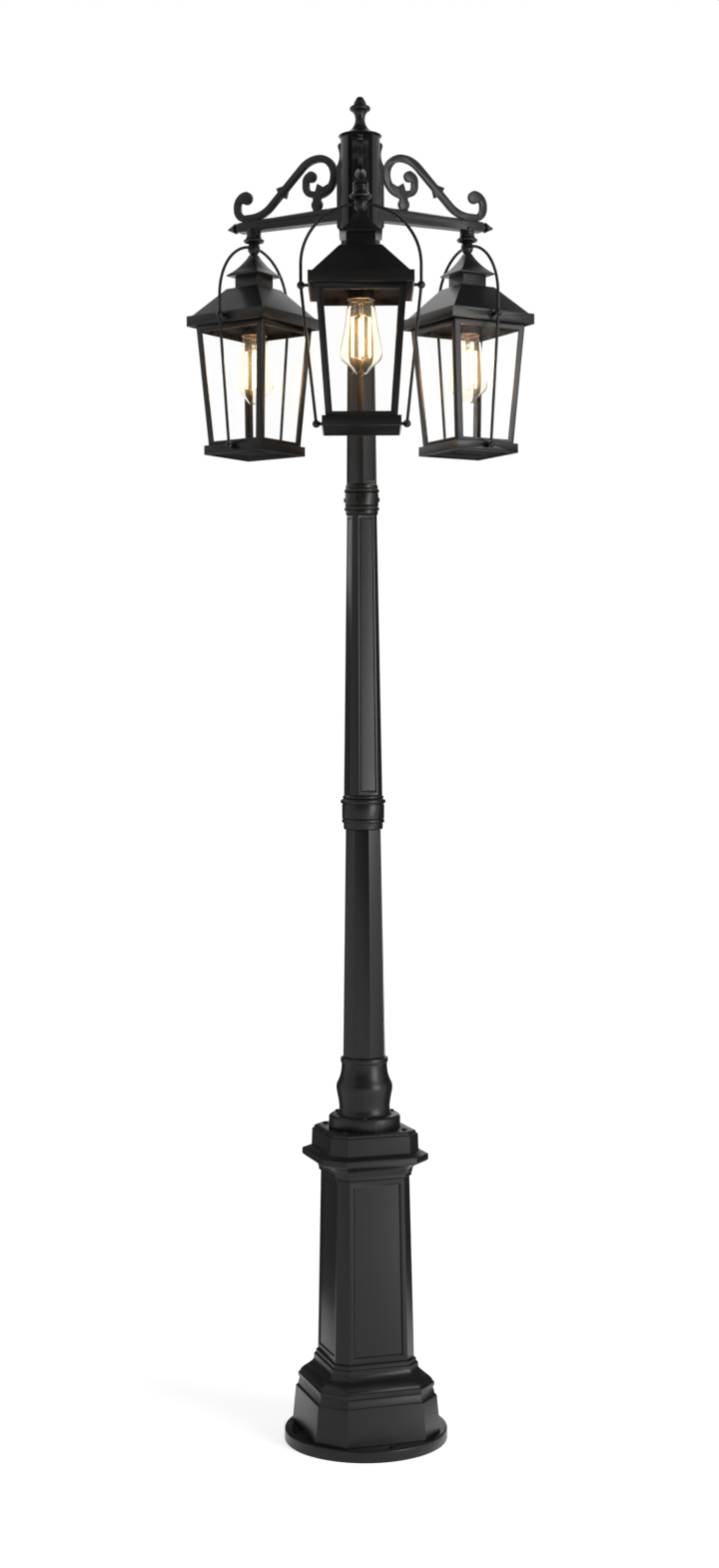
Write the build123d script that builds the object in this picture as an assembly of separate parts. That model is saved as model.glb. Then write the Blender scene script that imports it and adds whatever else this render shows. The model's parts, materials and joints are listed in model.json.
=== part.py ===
from build123d import *

import os
from math import atan2, cos, degrees, hypot, pi, sin, tan

# Outdoor post light: a cast pedestal and a sectional post that carry three hanging lanterns.
# Millimetres, +Z up, origin on the ground at the centre of the base plate. The front arm points
# along -Y and the other two stand a third of a turn to either side.

# Fits between pieces
fit = 0.2
run_fit = 0.08
rod_fit = 0.1

# Base plate
base_d = 260.0
base_h = 18.0
base_edge = 3.0
anchor_inset = 14.0
anchor_d = 10.0
cable_inlet_d = 50.0

# Pedestal: chamfered squares, given by half the width across their main faces
post_turn = 18.0
casting_wall = 6.0
plinth_half = 103.5
plinth_draft = 5.0
plinth_h = 57.0
cove_h = 15.0
rib_half = 95.0
rib_h = 6.0
ogee_h = 26.0
foot_bead_h = 13.0
shaft_h = 287.0
shaft_foot_half = 65.5
shaft_head_half = 60.0
shaft_face = 48.0
face_slope = 0.44
panel_border = 7.0
panel_depth = 2.5
panel_end = 9.0
cornice_half = 87.5
cornice_cove_h = 26.0
cornice_band_h = 10.0
cornice_slope_h = 5.0
neck_half = 72.5
neck_h = 33.0
neck_step = 3.0
pedestal_top_t = 8.0
pedestal_screw_r = 70.7
pedestal_screw_d = 9.0

# Pole flange and turned baluster
flange_d = 114.4
flange_h = 21.0
flange_screw_r = 50.6
flange_screw_d = 8.0
screw_head_h = 3.0
screw_shank_d = 5.0
screw_grip = 12.0
baluster_h = 91.0
baluster_waist_r = 41.0
baluster_belly_r = 45.0
baluster_neck_r = 36.5
baluster_ring_h = 9.0
baluster_ring_proud = 1.5

# Pole sections and the collars that join them
wire_way_d = 30.0
lower_bore_d = 28.0
middle_bore_d = 23.0
upper_bore_d = 18.0
tenon_l = 25.0
tenon_gap = 0.5
lower_pole_l = 364.0
lower_pole_foot_half = 32.8
lower_pole_head_half = 27.2
lower_pole_turn = 40.0
lower_tenon_d = 40.0
lower_collar_h = 55.0
lower_collar_r = 33.9
middle_pole_l = 448.0
middle_pole_foot_half = 27.1
middle_pole_foot_face = 16.2
middle_pole_head_half = 20.7
middle_pole_head_face = 14.1
upper_tenon_d = 31.0
upper_collar_h = 48.0
upper_collar_r = 26.8
upper_pole_l = 377.0
upper_pole_foot_half = 20.4
upper_pole_foot_face = 13.3
upper_pole_head_half = 17.4
upper_pole_head_face = 11.0
upper_pole_turn = 40.0
head_tenon_d = 26.0
pole_panel_border = 3.2
pole_panel_depth = 1.4
pole_panel_end = 6.0
set_screw_d = 7.0
set_screw_proud = 2.0
collar_screw_turn = -7.0

# Head column, cap and finial
head_h = 180.0
head_r = 31.7
head_flat = 25.0
head_bore_r = 19.5
head_web_h = 30.0
head_screw_rise = 25.0
cap_r = 34.8
cap_h = 4.0
cap_spigot_h = 8.0
finial_h = 61.0
finial_base_r = 24.4
finial_neck_r = 8.0
finial_disc_r = 16.8
finial_disc_h = 8.0
finial_acorn_r = 10.3
finial_acorn_h = 15.2
finial_stud_d = 8.0

# Arms: a tapered rail, a flat cast scroll and a back plate, seen from the side
arm_angles = {"front": 0.0, "left": -120.0, "right": 120.0}
arm_rise = 61.0
hang_r = 203.0
rail_w = 20.0
rail_bevel_w = 6.0
rail_bevel_h = 3.0
rail_root_h = 24.4
rail_tip_h = 17.0
rail_overrun = 27.0
rail_groove = 2.4
rail_groove_depth = 1.2
spear_l = 25.0
spear_r = 8.5
back_w = 26.0
back_out_r = 36.4
back_below = 27.0
back_above = 111.0
scroll_t = 7.0
scroll_w = 11.6
scroll_top = 94.8
scroll_run = 14.0
scroll_foot_in = 18.5
scroll_foot_bend = 55.0
scroll_shoulder_bend = 44.0
scroll_gap = 6.3
scroll_straight = 1.0
volute_r = 17.6
volute_out = 31.4
volute_straight = 3.4
volute_eye_r = 10.2
loop_r = 29.0
inner_volute_r = 14.0
leaf_reach = 12.6
leaf_above = 8.0
leaf_tip = 4.0
leaf_below = 6.5
arm_bolt_d = 6.0
arm_bolt_grip = 8.0
arm_bolt_head_d = 10.0
arm_bolt_head_h = 4.0
arm_wire_d = 7.0

# Hanger: a boss and bell under the arm, and the turned stem that carries a lantern
boss_d = 23.6
boss_drop = 10.5
bell_h = 16.0
bell_neck_d = 23.4
bell_d = 34.8
bell_roof = 4.0
bell_lip = 2.2
stem_d = 10.0
stem_wire_d = 5.0
stem_rise = 1.0
hanger_collar_r = 8.3
hanger_ball_r = 10.2
hanger_neck_r = 5.3
hanger_gap = 0.3
neck_drop = 47.0

# Lantern, hung from the arm: squares given by half their width
lantern_turn = {"front": 0.0, "left": -5.0, "right": 0.0}
sheet = 2.0
chimney_cap_h = 36.6
chimney_cap_half = 32.3
chimney_cap_lip = 2.2
chimney_h = 20.4
chimney_half = 22.1
roof_top_half = 32.0
roof_rise = 47.0
roof_ledge = 5.5
eave_half = 79.0
fascia_h = 17.0
eave_overhang = 11.2
cage_h = 194.4
cage_post_w = 10.5
cage_band_h = 9.0
cage_sill_h = 6.5
tray_half = 59.2
tray_step = 5.4
tray_h = 15.3
glass_t = 3.0
glass_gap = 0.6
glass_stop_h = 6.0
clip_w = 14.0
clip_h = 8.0
clip_t = 1.2
clip_spread = 0.5
pan_recess = 2.0
weep_hole_d = 5.0
weep_hole_r = 24.0
roof_nut_d = 16.0
roof_nut_h = 6.0

# Bail rod and the ball connectors that hold it
bail_d = 4.8
bail_standoff = 12.0
bail_drop = 35.5
bail_ball_d = 12.0
bail_shank_d = 5.0
eave_ball_drop = 7.0
tray_ball_drop = 5.0
tray_standoff = 9.3

# Lamp holder and filament bulb
holder_cup_d = 40.6
holder_cup_h = 13.0
holder_cup_wall = 1.4
holder_cup_roof = 2.0
holder_neck_d = 34.0
holder_roof = 4.0
bulb_cap_d = 26.4
bulb_cap_l = 25.5
bulb_cap_pitch = 3.6
bulb_cap_fit = 0.4
bulb_cap_wall = 1.0
bulb_d = 63.5
bulb_glass_l = 122.0
bulb_wall = 1.0
bulb_up = 10.0
filament_count = 4
filament_turn = 9.0
filament_d = 3.0
filament_ring_r = 13.0
filament_l = 60.0
filament_stem_d = 5.2
filament_stem_l = 36.0
filament_spider_h = 1.0
filament_spider_rim = 0.8
filament_seal_h = 1.5

# Heights of the stacked pieces, from the ground up
foot_z = base_h
shaft_z = foot_z + plinth_h + cove_h + rib_h + ogee_h + foot_bead_h
cornice_z = shaft_z + shaft_h
flange_z = cornice_z + cornice_cove_h + cornice_band_h + cornice_slope_h + neck_h
lower_pole_z = flange_z + flange_h + baluster_h
lower_collar_z = lower_pole_z + lower_pole_l
middle_pole_z = lower_collar_z + lower_collar_h
upper_collar_z = middle_pole_z + middle_pole_l
upper_pole_z = upper_collar_z + upper_collar_h
head_z = upper_pole_z + upper_pole_l
cap_z = head_z + head_h
finial_z = cap_z + cap_h
arm_z = head_z + arm_rise
lower_tenon_l = lower_collar_h / 2 - tenon_gap
upper_tenon_l = upper_collar_h / 2 - tenon_gap

# Depths of the lantern's pieces below the arm's axis
cap_bottom = neck_drop + chimney_cap_h
roof_top = cap_bottom + chimney_h
ledge_drop = roof_top + roof_rise
ceiling_drop = ledge_drop + fascia_h
tray_drop = ceiling_drop + cage_h
tray_bottom = tray_drop + tray_h
cage_top_half = eave_half - eave_overhang
cage_foot_half = tray_half - tray_step
bail_half = eave_half + bail_standoff
eave_ball_z = -(ledge_drop + eave_ball_drop)
tray_ball_z = -(tray_drop + tray_ball_drop)
tray_ball_half = tray_half + tray_standoff
holder_mouth = ceiling_drop + holder_cup_h
bulb_neck_z = -(holder_mouth - bulb_up)


def main_face(half):
    """Half width of a pedestal's main face, which grows with the width across the faces."""
    return shaft_face + face_slope * (half - shaft_foot_half)


def octagon(half, face, z):
    """Chamfered square at a height, with four main faces and four corner faces."""
    corners = [(face, -half), (half, -face), (half, face), (face, half)]
    corners += [(-x, -y) for x, y in corners]
    return Pos(0, 0, z) * make_face(Polyline(*corners, close=True))


def pedestal_loft(outline):
    """Straight-sided moulding through (height, half width) stations."""
    return loft([octagon(half, main_face(half), z) for z, half in outline], ruled=True)


def post(radius, z_low, z_high):
    """Upright round bar between two heights."""
    return Pos(0, 0, z_low) * Cylinder(radius, z_high - z_low, align=(Align.CENTER, Align.CENTER, Align.MIN))


def turned(outline, z=0.0):
    """Piece turned about the upright axis from an outline of (radius, height)."""
    return Pos(0, 0, z) * revolve(Plane.XZ * make_face(outline), Axis.Z)


def around(shape, count, radius, first=0.0):
    """Copies of a shape on a circle, the first one towards the front."""
    step = 360.0 / count
    return [Rot(0, 0, first + step * i) * Pos(0, -radius, 0) * shape for i in range(count)]


def outward(radius, start, end):
    """Round bar that points to the front, between two distances from the axis."""
    bar = Cylinder(radius, end - start, align=(Align.CENTER, Align.CENTER, Align.MIN))
    return Pos(0, -start, 0) * Rot(90, 0, 0) * bar


def base_plate():
    plate = post(base_d / 2, 0, base_h)
    plate = fillet(plate.edges().group_by(Axis.Z)[-1], base_edge)
    plate -= post(cable_inlet_d / 2, 0, base_h)
    holes = around(post(anchor_d / 2, 0, base_h), 4, base_d / 2 - anchor_inset, post_turn)
    return plate - holes


def pedestal_foot():
    cove_z = plinth_h + cove_h
    rib_top = cove_z + rib_h
    bead_z = rib_top + ogee_h
    bead_half = shaft_foot_half + 6.0
    foot_h = bead_z + foot_bead_h
    outline = [(0, plinth_half), (plinth_h, plinth_half - plinth_draft)]
    outline += [(plinth_h + 2, plinth_half - plinth_draft - 3), (cove_z - 2, rib_half - 2)]
    outline += [(cove_z, rib_half), (rib_top, rib_half)]
    ogee_steps = 8
    for i in range(ogee_steps + 1):
        share = i / ogee_steps
        swell = (1 + cos(pi * share)) / 2
        half = bead_half + (rib_half - 2.5 - bead_half) * swell
        outline.append((rib_top + 1.5 + (ogee_h - 3) * share, half))
    outline += [(bead_z, bead_half), (bead_z + 5, bead_half), (bead_z + 6.5, bead_half - 3)]
    outline += [(foot_h - 1.5, bead_half - 3), (foot_h, shaft_foot_half)]
    inside = [(0, plinth_half - casting_wall), (foot_h, shaft_foot_half - casting_wall)]
    foot = pedestal_loft(outline) - pedestal_loft(inside)
    return Pos(0, 0, foot_z) * Rot(0, 0, post_turn) * foot


def sunk_panels(halves, faces, ends, depth):
    """Cutters for a sunk panel on each main face of a tapered shaft."""
    sections = []
    for half, face, z in zip(halves, faces, ends):
        reach = depth + 4.0
        middle = half - depth + reach / 2
        sections.append(Pos(0, middle, z) * Rectangle(2 * face, reach))
    cutter = loft(sections, ruled=True)
    return [Rot(0, 0, 90 * i) * cutter for i in range(4)]


def along(foot, head, share):
    """Value part of the way from a shaft's foot to its head."""
    return foot + (head - foot) * share


def pedestal_shaft():
    shaft = pedestal_loft([(0, shaft_foot_half), (shaft_h, shaft_head_half)])
    inside = [(0, shaft_foot_half - casting_wall), (shaft_h, shaft_head_half - casting_wall)]
    shaft -= pedestal_loft(inside)
    ends = (panel_end, shaft_h - panel_end)
    halves = [along(shaft_foot_half, shaft_head_half, z / shaft_h) for z in ends]
    faces = [main_face(half) - panel_border for half in halves]
    shaft -= sunk_panels(halves, faces, ends, panel_depth)
    return Pos(0, 0, shaft_z) * Rot(0, 0, post_turn) * shaft


def pedestal_cornice():
    bead_half = shaft_head_half + 3.0
    band_z = cornice_cove_h
    slope_z = band_z + cornice_band_h
    neck_z = slope_z + cornice_slope_h
    top_z = neck_z + neck_h
    outline = [(0, shaft_head_half), (1.5, bead_half), (6.5, bead_half), (8, bead_half + 1)]
    cove_steps = 6
    for i in range(1, cove_steps + 1):
        turn = pi / 2 * i / cove_steps
        half = bead_half + 1 + (cornice_half - 4 - bead_half) * (1 - cos(turn))
        outline.append((8 + (band_z - 10) * sin(turn), half))
    outline += [(band_z, cornice_half - 1), (band_z + 1, cornice_half), (slope_z, cornice_half)]
    outline += [(neck_z, neck_half + 1), (top_z - 6, neck_half), (top_z - 5, neck_half - neck_step)]
    outline += [(top_z - 2, neck_half - neck_step), (top_z, neck_half - 2 * neck_step)]
    cornice = pedestal_loft(outline)
    inner = shaft_head_half - casting_wall
    cornice -= pedestal_loft([(0, inner), (top_z - pedestal_top_t, inner)])
    cornice -= post(wire_way_d / 2, 0, top_z)
    screw_holes = post(screw_shank_d / 2, top_z - screw_grip, top_z)
    cornice -= around(screw_holes, 4, pedestal_screw_r, 45.0)
    flange_holes = post(screw_shank_d / 2, top_z - pedestal_top_t, top_z)
    cornice -= around(flange_holes, 3, flange_screw_r, -post_turn)
    return Pos(0, 0, cornice_z) * Rot(0, 0, post_turn) * cornice


def round_head_screw(head_d, head_h, grip):
    """Button-head screw with its head above the origin and its shank below."""
    dome = fillet(post(head_d / 2, 0, head_h).edges().group_by(Axis.Z)[-1], head_h * 0.6)
    slot_w = head_d * 0.18
    dome -= Pos(0, 0, head_h) * Box(2 * head_d, slot_w, head_h * 0.6)
    return dome + post(screw_shank_d / 2, -grip, 0)


def socket_bar(proud, grip):
    """Set screw along the front direction, its cup end proud of the seat at the origin."""
    screw = outward(set_screw_d / 2, -grip, proud)
    return screw - outward(set_screw_d / 4, proud / 2, proud)


def post_screws():
    """Screws that hold the pedestal's top, the flange, the collars, the head and the arms."""
    deep = screw_grip - fit
    pedestal_screw = round_head_screw(pedestal_screw_d, screw_head_h, deep)
    screws = around(pedestal_screw, 4, pedestal_screw_r, post_turn + 45.0)
    screws = [Pos(0, 0, flange_z) * screw for screw in screws]
    flange_screw = round_head_screw(flange_screw_d, screw_head_h, flange_h + pedestal_top_t - fit)
    screws += [Pos(0, 0, flange_z + flange_h) * screw for screw in around(flange_screw, 3, flange_screw_r)]
    collar_screw = socket_bar(set_screw_proud, upper_collar_r - upper_tenon_d / 2 - 2 * fit)
    collar_mid = upper_collar_z + upper_collar_h / 2
    for screw in around(collar_screw, 4, upper_collar_r, collar_screw_turn):
        screws.append(Pos(0, 0, collar_mid) * screw)
    head_screw = socket_bar(set_screw_proud, head_r - head_tenon_d / 2 - 2 * fit)
    for screw in around(head_screw, 2, head_r, 90.0):
        screws.append(Pos(0, 0, head_z + head_screw_rise) * screw)
    bolt = outward(arm_bolt_d / 2, head_bore_r - fit, head_flat + arm_bolt_grip - fit)
    bolt += outward(arm_bolt_head_d / 2, bolt_seat_r() - arm_bolt_head_h, bolt_seat_r())
    for turn in arm_angles.values():
        for z in arm_bolt_heights():
            screws.append(Rot(0, 0, turn) * Pos(0, 0, z) * bolt)
    return Compound(screws)


def bolt_seat_r():
    """Distance from the axis at which an arm bolt's head meets the column's bore."""
    return (head_bore_r ** 2 - (arm_bolt_head_d / 2) ** 2) ** 0.5


def arm_bolt_heights():
    return (arm_z - back_below / 2, arm_z + back_above * 0.75)


def pole_flange():
    ring_z = flange_h + baluster_h - baluster_ring_h
    shoulder_r = flange_screw_r - flange_screw_d / 2 - 1.0
    foot = Polyline((0, 0), (flange_d / 2, 0), (flange_d / 2, flange_h - 3), (flange_d / 2 - 3, flange_h))
    foot += Line((flange_d / 2 - 3, flange_h), (shoulder_r, flange_h))
    waist = (baluster_waist_r, flange_h + baluster_h * 0.2)
    belly = (baluster_belly_r, flange_h + baluster_h * 0.5)
    neck = (baluster_neck_r, ring_z)
    body = Spline((shoulder_r, flange_h), waist, belly, neck, tangents=[(-1, 0.5), (0, 1)])
    ring_r = baluster_neck_r + baluster_ring_proud
    top_z = flange_h + baluster_h
    ring = Polyline(neck, (ring_r, ring_z + 1.5), (ring_r, top_z - 1), (ring_r - 1, top_z))
    ring += Polyline((ring_r - 1, top_z), (0, top_z), (0, 0))
    piece = turned(foot + body + ring)
    piece -= post(wire_way_d / 2, 0, top_z)
    piece -= post(lower_tenon_d / 2 + fit, top_z - tenon_l - fit, top_z)
    piece -= around(post(screw_shank_d / 2 + fit, 0, flange_h), 3, flange_screw_r)
    return Pos(0, 0, flange_z) * piece


def pole(length, halves, faces, tenons, tenon_ls, bore_d, turn, panelled):
    """Tapered pole section with a round tenon at each end and a wire way through it."""
    shaft = loft([octagon(half, face, z) for half, face, z in zip(halves, faces, (0, length))], ruled=True)
    if panelled:
        ends = (pole_panel_end, length - pole_panel_end)
        panel_halves = [along(*halves, z / length) for z in ends]
        panel_faces = [along(*faces, z / length) - pole_panel_border for z in ends]
        shaft -= sunk_panels(panel_halves, panel_faces, ends, pole_panel_depth)
    shaft += post(tenons[0] / 2, -tenon_ls[0], 0)
    shaft += post(tenons[1] / 2, length, length + tenon_ls[1])
    shaft -= post(bore_d / 2, -tenon_ls[0], length + tenon_ls[1])
    return Rot(0, 0, turn) * shaft


def lower_pole():
    halves = (lower_pole_foot_half, lower_pole_head_half)
    faces = [half * tan(pi / 8) for half in halves]
    tenons = (lower_tenon_d, lower_tenon_d)
    tenon_ls = (tenon_l, lower_tenon_l)
    section = pole(lower_pole_l, halves, faces, tenons, tenon_ls, lower_bore_d, lower_pole_turn, False)
    return Pos(0, 0, lower_pole_z) * section


def middle_pole():
    halves = (middle_pole_foot_half, middle_pole_head_half)
    faces = (middle_pole_foot_face, middle_pole_head_face)
    tenons = (lower_tenon_d, upper_tenon_d)
    tenon_ls = (lower_tenon_l, upper_tenon_l)
    section = pole(middle_pole_l, halves, faces, tenons, tenon_ls, middle_bore_d, post_turn, True)
    return Pos(0, 0, middle_pole_z) * section


def upper_pole():
    halves = (upper_pole_foot_half, upper_pole_head_half)
    faces = (upper_pole_foot_face, upper_pole_head_face)
    tenons = (upper_tenon_d, head_tenon_d)
    tenon_ls = (upper_tenon_l, tenon_l)
    section = pole(upper_pole_l, halves, faces, tenons, tenon_ls, upper_bore_d, upper_pole_turn, True)
    return Pos(0, 0, upper_pole_z) * section


def bead(radius, z_low, z_high, proud):
    """Half-round ring on a turned outline."""
    return ThreePointArc((radius, z_low), (radius + proud, (z_low + z_high) / 2), (radius, z_high))


def lower_collar():
    r = lower_collar_r
    h = lower_collar_h
    outline = Polyline((0, 0), (r - 3.9, 0), (r - 2.4, 1.5), (r - 2.4, 10), (r - 1.7, 10))
    outline += bead(r - 1.7, 10, 17, 2.0)
    outline += Polyline((r - 1.7, 17), (r, 17.5), (r, h - 16), (r - 0.7, h - 15), (r - 0.7, h - 14))
    outline += bead(r - 0.7, h - 14, h - 6.5, 3.0)
    outline += Polyline((r - 0.7, h - 6.5), (r - 2.3, h - 6))
    outline += bead(r - 2.3, h - 6, h - 1, 1.2)
    outline += Polyline((r - 2.3, h - 1), (r - 3.3, h), (0, h), (0, 0))
    collar = turned(outline) - post(lower_tenon_d / 2 + fit, 0, h)
    return Pos(0, 0, lower_collar_z) * collar


def upper_collar():
    r = upper_collar_r
    h = upper_collar_h
    outline = Polyline((0, 0), (r - 2, 0), (r - 1, 1.2), (r - 1, 6), (r - 1.4, 6.5))
    outline += bead(r - 1.4, 6.5, 13, 2.8)
    outline += Polyline((r - 1.4, 13), (r, 14.5), (r, h - 14.5), (r - 1.4, h - 13))
    outline += bead(r - 1.4, h - 13, h - 6.5, 2.8)
    outline += Polyline((r - 1.4, h - 6.5), (r - 1, h - 6), (r - 1, h - 1.2), (r - 2, h), (0, h), (0, 0))
    collar = turned(outline) - post(upper_tenon_d / 2 + fit, 0, h)
    hole = Pos(0, 0, h / 2) * outward(set_screw_d / 2, 0, r + set_screw_proud)
    collar -= [Rot(0, 0, collar_screw_turn + 90 * i) * hole for i in range(4)]
    return Pos(0, 0, upper_collar_z) * collar


def head_column():
    column = post(head_r, 0, head_h)
    for turn in arm_angles.values():
        slab = Pos(0, -head_flat - head_r / 2, head_h / 2) * Box(2 * head_r, head_r, head_h)
        column -= Rot(0, 0, turn) * slab
    column -= post(head_bore_r, head_web_h, head_h)
    column -= post(head_tenon_d / 2 + fit, 0, head_web_h)
    for turn in (-90.0, 90.0):
        seat = outward(set_screw_d / 2, head_tenon_d / 2, head_r)
        column -= Rot(0, 0, turn) * Pos(0, 0, head_screw_rise) * seat
    column = Pos(0, 0, head_z) * column
    for turn in arm_angles.values():
        for z in arm_bolt_heights():
            column -= Rot(0, 0, turn) * Pos(0, 0, z) * outward(arm_bolt_d / 2 + fit, 0, head_r)
            recess = outward(arm_bolt_head_d / 2 + fit, 0, bolt_seat_r())
            column -= Rot(0, 0, turn) * Pos(0, 0, z) * recess
        column -= Rot(0, 0, turn) * Pos(0, 0, arm_z) * outward(arm_wire_d / 2, 0, head_r)
    return column


def head_cap():
    seat_r = finial_base_r + 2
    rim = Polyline((0, 0), (cap_r - 2, 0), (cap_r, 1.2), (cap_r - 0.8, cap_h - 1.4), (seat_r, cap_h))
    rim += Polyline((seat_r, cap_h), (0, cap_h), (0, 0))
    cap = turned(rim) + post(head_bore_r - fit, -cap_spigot_h, 0)
    cap -= post(finial_stud_d / 2 + fit, -cap_spigot_h, cap_h)
    return Pos(0, 0, cap_z) * cap


def top_finial():
    acorn_z = finial_h - finial_acorn_h
    disc_z = acorn_z - finial_disc_h
    rim_r = finial_disc_r - 3.4
    foot = Polyline((0, 0), (finial_base_r, 0), (finial_base_r, 1.6))
    flare = Spline((finial_base_r, 1.6), (14.7, 8.2), (finial_neck_r, 21.5), (finial_neck_r + 0.5, 30.5),
                   (rim_r, disc_z))
    disc = bead(rim_r, disc_z, acorn_z, finial_disc_r - rim_r)
    disc += Line((rim_r, acorn_z), (finial_acorn_r, acorn_z))
    acorn = Spline((finial_acorn_r, acorn_z), (finial_acorn_r - 0.5, acorn_z + 4.6), (6.2, finial_h - 3.6),
                   (0, finial_h), tangents=[(0, 1), (-1, 0)])
    axis = Line((0, finial_h), (0, 0))
    finial = turned(foot + flare + disc + acorn + axis)
    finial += post(finial_stud_d / 2, -cap_h - cap_spigot_h + fit, 0)
    return Pos(0, 0, finial_z) * finial


# Side view of an arm: x runs out from the post's axis and y up from the arm's axis
side_view = Plane(origin=(0, 0, arm_z), x_dir=(0, -1, 0), z_dir=(-1, 0, 0))


def ribbon(points, radii, width):
    """Flat band of one width along straight runs and tangent arcs, with rounded ends."""
    corners = [Vector(*point) for point in points]
    runs = [(end - start).normalized() for start, end in zip(corners, corners[1:])]
    sides = [Vector(-run.Y, run.X) for run in runs]
    edges = []
    ends = []
    for reach in (width / 2, -width / 2):
        rim = [corners[0] + sides[0] * reach]
        bends = []
        for corner, before, after, radius in zip(corners[1:], sides, sides[1:], radii):
            rim.append(corner + (before + after) * (reach / (1 + before.dot(after))))
            left_turn = before.cross(after).Z > 0
            bends.append(radius - reach if left_turn else radius + reach)
        rim.append(corners[-1] + sides[-1] * reach)
        edges += FilletPolyline(*rim, radius=bends).edges()
        ends.append((rim[0], rim[-1]))
    edges += ThreePointArc(ends[0][0], corners[0] - runs[0] * (width / 2), ends[1][0]).edges()
    edges += ThreePointArc(ends[0][1], corners[-1] + runs[-1] * (width / 2), ends[1][1]).edges()
    return make_face(edges)


def leaf_sleeve(start, end, share):
    """Arrow-shaped sleeve part of the way down a straight run, with a leaf tip on either side."""
    run = (Vector(*end) - Vector(*start)).normalized()
    across = Vector(-run.Y, run.X)
    middle = Vector(*start) * (1 - share) + Vector(*end) * share
    edge = scroll_w * 0.45
    half = [(-leaf_above, edge), (leaf_tip, leaf_reach), (leaf_below, edge)]
    half += [(along, -reach) for along, reach in reversed(half)]
    return make_face(Polyline(*[middle + run * along + across * reach for along, reach in half], close=True))


def scroll():
    """Outline of the scroll above the rail, from the outer volute to the loop at the back plate."""
    volute_x = hang_r + volute_out
    volute_top = scroll_run + 2 * volute_r + volute_straight
    volute_end = volute_x - volute_r - scroll_straight
    foot = (hang_r - scroll_foot_in, scroll_run)
    loop_x = back_out_r + scroll_gap + scroll_w / 2 + loop_r
    loop_back = loop_x - loop_r
    loop_low = scroll_top - 2 * loop_r - scroll_straight
    shoulder = (loop_x + loop_r * 0.65, scroll_top)
    main = [(volute_end, volute_top), (volute_x, volute_top), (volute_x, scroll_run), foot,
            shoulder, (loop_back, scroll_top), (loop_back, loop_low), (loop_x + 2, loop_low)]
    bends = [volute_r, volute_r, scroll_foot_bend, scroll_shoulder_bend, loop_r, loop_r]
    outline = ribbon(main, bends, scroll_w)
    outline += Pos(volute_end + 0.5, volute_top - volute_eye_r * 0.51) * Circle(volute_eye_r)
    curl_x = loop_x + loop_r * 0.83
    curl_low = loop_low + inner_volute_r * 0.3
    curl_top = curl_low + inner_volute_r * 2.1
    curl_end = curl_x - inner_volute_r * 0.72
    curl_start = loop_x - inner_volute_r * 0.43
    curl = [(curl_start, loop_low), (curl_x, curl_low), (curl_x, curl_top), (curl_end, curl_top)]
    outline += ribbon(curl, [inner_volute_r, inner_volute_r * 0.66], scroll_w * 0.9)
    outline += Pos(curl_end, curl_top - volute_eye_r * 0.24) * Circle(volute_eye_r * 0.88)
    stem_x = loop_x + scroll_w * 0.28
    stem_half = scroll_w * 0.56
    outline += Pos(stem_x, loop_low / 2) * Rectangle(2 * stem_half, loop_low)
    outline += Pos(stem_x, loop_low - scroll_w * 1.32) * Circle(scroll_w * 0.8)
    spur_shares = [(-1.9, 1.34), (-1.06, 1.03), (-0.15, 1.61), (0.16, 0.69), (0.16, 0), (-1.38, 0)]
    spur = [(stem_x + scroll_w * x, loop_low + scroll_w * y) for x, y in spur_shares]
    outline += make_face(Polyline(*spur, close=True))
    outline += leaf_sleeve(shoulder, foot, 0.56)
    return outline


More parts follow.
